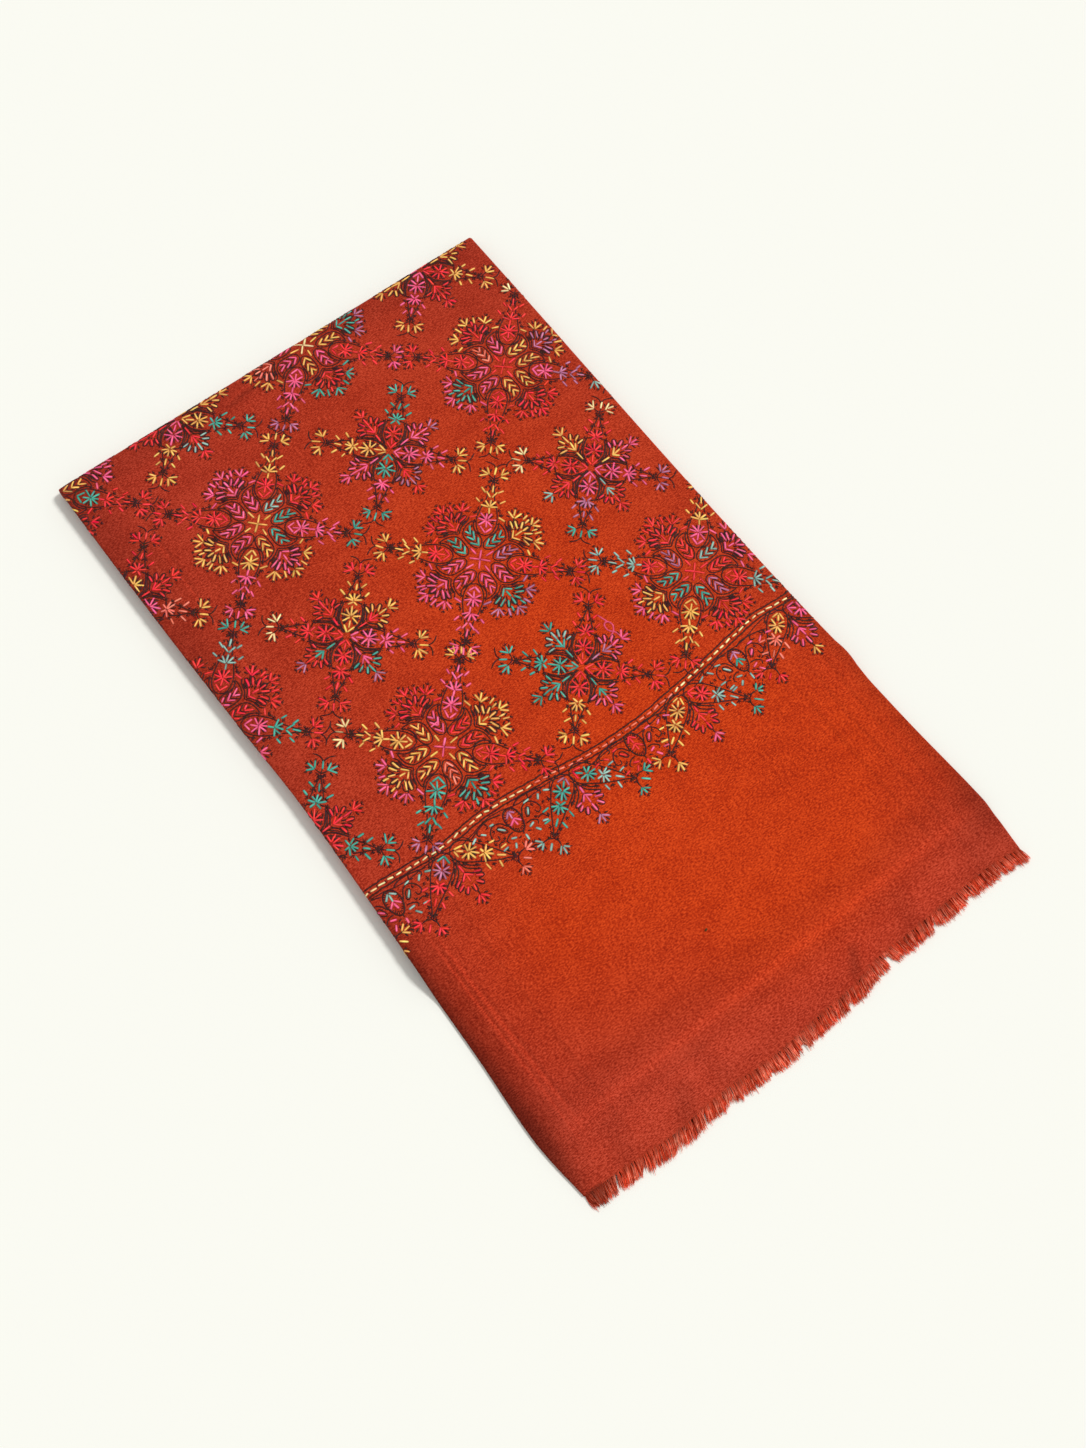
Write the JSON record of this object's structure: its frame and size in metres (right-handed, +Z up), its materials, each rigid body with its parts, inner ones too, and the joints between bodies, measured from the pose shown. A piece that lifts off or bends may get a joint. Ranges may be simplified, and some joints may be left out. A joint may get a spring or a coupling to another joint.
{
  "type": "folded pashmina shawl",
  "caption": "Embroidered wool shawl with a fringed end, folded into a flat oblong stack that lies on a surface.",
  "frame": {"origin": "middle of the footprint, on the surface that the folded shawl lies on", "axes": "+Y along the folded strip towards the far fold, +X across it, +Z up through the layers"},
  "size_m": [0.341, 0.5774, 0.0098],
  "materials": {
    "cloth": "fine soft wool twill, matt with a slight nap",
    "thread": "loose fine wool yarn, soft sheen"
  },
  "bodies": {
    "root": {"top_panel": "cloth", "under_panel": "cloth", "hidden_layers": "cloth", "fringe_face": "thread", "fringe_turned": "thread"}
  },
  "joints": []
}
